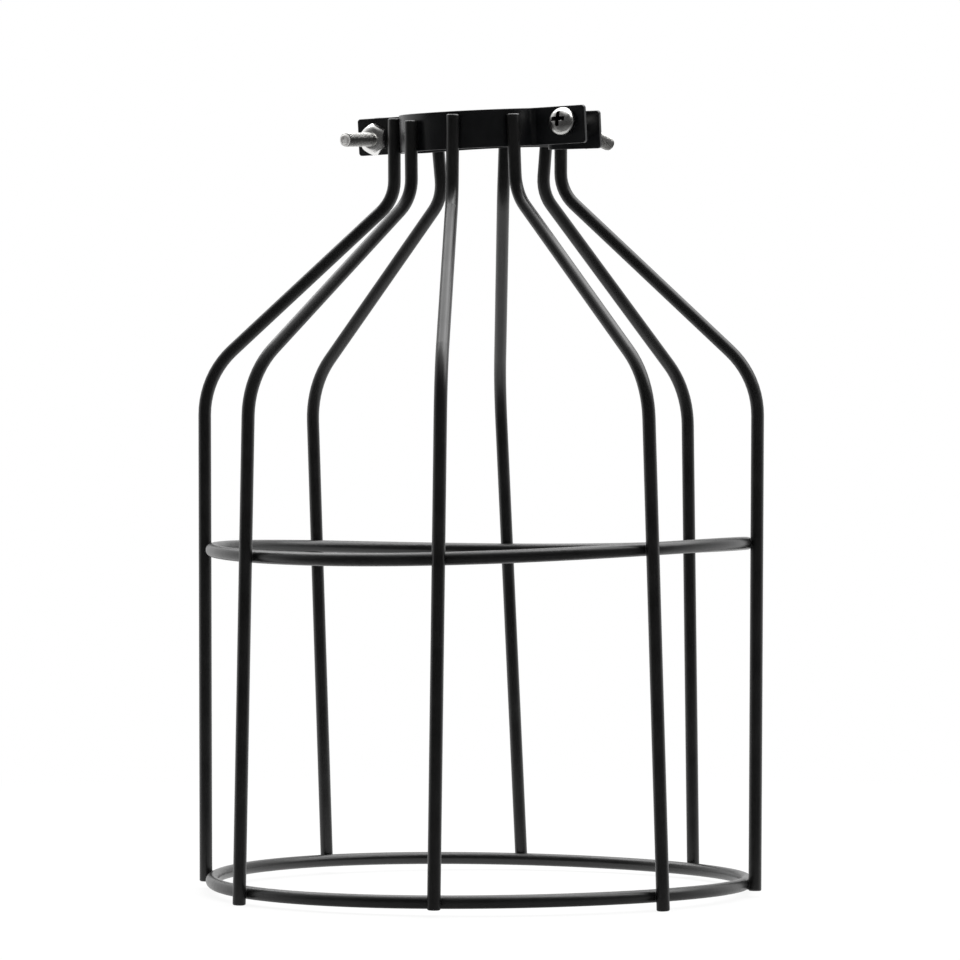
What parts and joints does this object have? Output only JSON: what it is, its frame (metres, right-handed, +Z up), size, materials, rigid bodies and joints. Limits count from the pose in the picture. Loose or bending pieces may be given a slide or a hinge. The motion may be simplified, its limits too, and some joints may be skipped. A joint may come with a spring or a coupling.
{
  "type": "bulb cage guard",
  "caption": "Open-bottomed wire guard for a lamp bulb: bent uprights on welded rings, drawn in to a split strip collar that clamps on the lamp holder's neck",
  "frame": {"origin": "on the axis of the two rings, at the level of the longest uprights' feet", "axes": "+Z up along the cage's axis towards the collar, X along the line of the collar's ears, Y along the clamp screws"},
  "size_m": [0.1367, 0.1367, 0.1961],
  "materials": {
    "black_coat": "semi-gloss black coating on steel wire and strip",
    "zinc_plate": "bright plated steel"
  },
  "bodies": {
    "root": {"collar_half_front": "black_coat", "collar_half_rear": "black_coat", "waist_ring": "black_coat", "foot_ring": "black_coat", "upright_1": "black_coat", "upright_2": "black_coat", "upright_3": "black_coat", "upright_4": "black_coat", "upright_5": "black_coat", "upright_6": "black_coat", "upright_7": "black_coat", "upright_8": "black_coat", "clamp_screw_right": "zinc_plate", "clamp_screw_left": "zinc_plate", "clamp_nut_right": "zinc_plate", "clamp_nut_left": "zinc_plate"}
  },
  "joints": []
}
